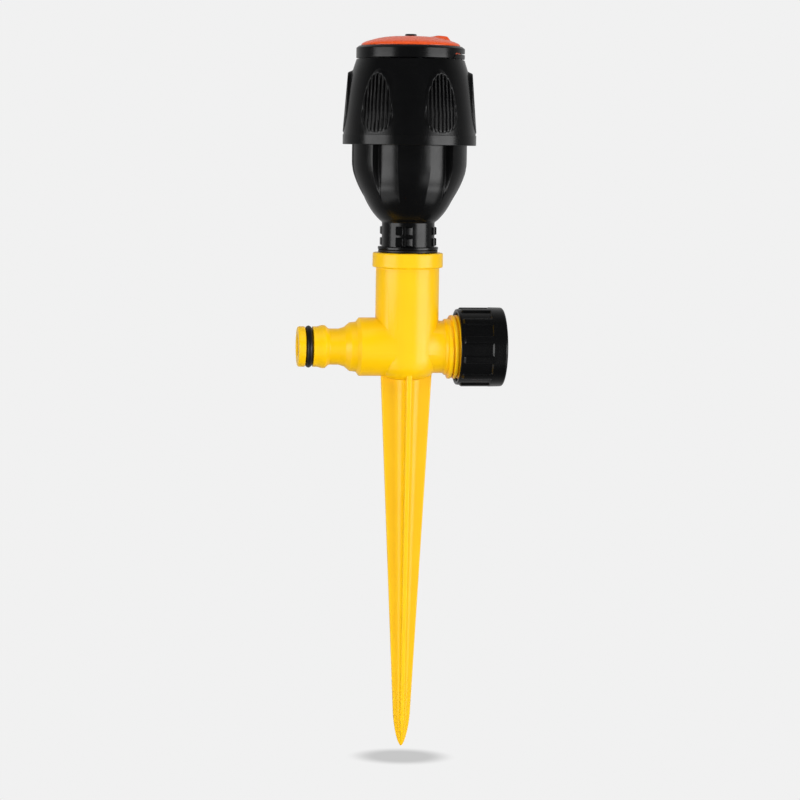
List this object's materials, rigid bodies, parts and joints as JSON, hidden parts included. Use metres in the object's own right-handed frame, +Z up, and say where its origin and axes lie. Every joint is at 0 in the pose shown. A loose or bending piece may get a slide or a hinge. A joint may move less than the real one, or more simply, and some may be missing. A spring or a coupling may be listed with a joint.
{
  "type": "garden sprinkler",
  "caption": "Spiked garden sprinkler with a turbine-driven rotary head on a tee body, a quick-connect hose nipple on one side and a capped threaded outlet on the other.",
  "frame": {"origin": "the ground line: the underside of the tee barrel, on the axis of the head and the stake", "axes": "+Z runs up the stake and head axis, -X points out of the hose nipple, +X out of the capped outlet, -Y is the front"},
  "size_m": [0.0865, 0.0556, 0.3006],
  "materials": {
    "yellow_plastic": "satin moulded plastic with a soft gloss",
    "black_plastic": "satin moulded plastic, fine spark-eroded grain",
    "orange_plastic": "glossy moulded plastic",
    "grey_plastic": "satin moulded plastic",
    "white_plastic": "waxy low-friction plastic",
    "rubber": "matt seal rubber",
    "steel": "ground stainless pin stock",
    "brass": "turned brass"
  },
  "bodies": {
    "spike": {"spike_body": "yellow_plastic", "nipple_o_ring": "rubber"},
    "gasket": {"socket_gasket": "rubber"},
    "head": {"head_bowl": "black_plastic", "inlet_filter": "grey_plastic"},
    "cartridge": {"gear_case": "grey_plastic", "gear_case_cover": "grey_plastic", "stator_cup": "grey_plastic", "riser_housing": "grey_plastic", "riser_seal": "rubber", "thrust_washer": "white_plastic", "idler_pin_lower": "steel", "idler_pin_upper": "steel", "shaft_bush": "brass"},
    "collar": {"collar": "black_plastic"},
    "turret": {"riser_tube": "grey_plastic", "output_gear": "white_plastic", "turret_body": "black_plastic", "spray_nozzle": "orange_plastic", "turret_cap": "orange_plastic", "cap_screw": "black_plastic"},
    "upper_idler": {"idler_gear_upper": "white_plastic"},
    "lower_idler": {"idler_gear_lower": "white_plastic"},
    "turbine": {"turbine": "white_plastic", "turbine_shaft": "steel", "turbine_pinion": "brass"},
    "cap_washer": {"outlet_cap_washer": "rubber"},
    "outlet_cap": {"outlet_cap": "black_plastic"}
  },
  "joints": [
    {"name": "head_lift", "type": "slide", "parent": "spike", "child": "gasket", "axis": [0, 0, 1], "range_m": [0, 0.01452]},
    {"name": "head_unscrew", "type": "hinge", "parent": "gasket", "child": "head", "pos_m": [0, 0, 0.0517], "axis": [0, 0, 1], "range_deg": [0, 2880]},
    {"name": "cartridge_lift", "type": "slide", "parent": "head", "child": "cartridge", "axis": [0, 0, 1], "range_m": [0, 0.01201]},
    {"name": "collar_unscrew", "type": "hinge", "parent": "cartridge", "child": "collar", "pos_m": [0, 0, 0.1075], "axis": [0, 0, 1], "range_deg": [0, 1440]},
    {"name": "turret_spin", "type": "hinge", "parent": "cartridge", "child": "turret", "pos_m": [0, 0, 0.1318], "axis": [0, 0, 1], "continuous": true},
    {"name": "upper_idler_spin", "type": "hinge", "parent": "cartridge", "child": "upper_idler", "pos_m": [0.00693, -0.004, 0.0962], "axis": [0, 0, 1], "continuous": true},
    {"name": "lower_idler_spin", "type": "hinge", "parent": "cartridge", "child": "lower_idler", "pos_m": [0, -0.008, 0.0934], "axis": [0, 0, 1], "continuous": true},
    {"name": "turbine_spin", "type": "hinge", "parent": "cartridge", "child": "turbine", "pos_m": [0, 0, 0.0872], "axis": [0, 0, 1], "continuous": true},
    {"name": "cap_travel", "type": "slide", "parent": "spike", "child": "cap_washer", "axis": [1, 0, 0], "range_m": [0, 0.01106]},
    {"name": "cap_unscrew", "type": "hinge", "parent": "cap_washer", "child": "outlet_cap", "pos_m": [0.0209, 0, 0.0122], "axis": [1, 0, 0], "range_deg": [0, 1800]}
  ],
  "couplings": [
    {"joint": "head_lift", "follows": "head_unscrew", "m_per_rad": 0.00028871},
    {"joint": "cartridge_lift", "follows": "collar_unscrew", "m_per_rad": 0.00047746},
    {"joint": "upper_idler_spin", "follows": "turret_spin", "ratio": -3},
    {"joint": "lower_idler_spin", "follows": "turret_spin", "ratio": 9},
    {"joint": "turbine_spin", "follows": "turret_spin", "ratio": -27},
    {"joint": "cap_travel", "follows": "cap_unscrew", "m_per_rad": 0.00035157}
  ]
}
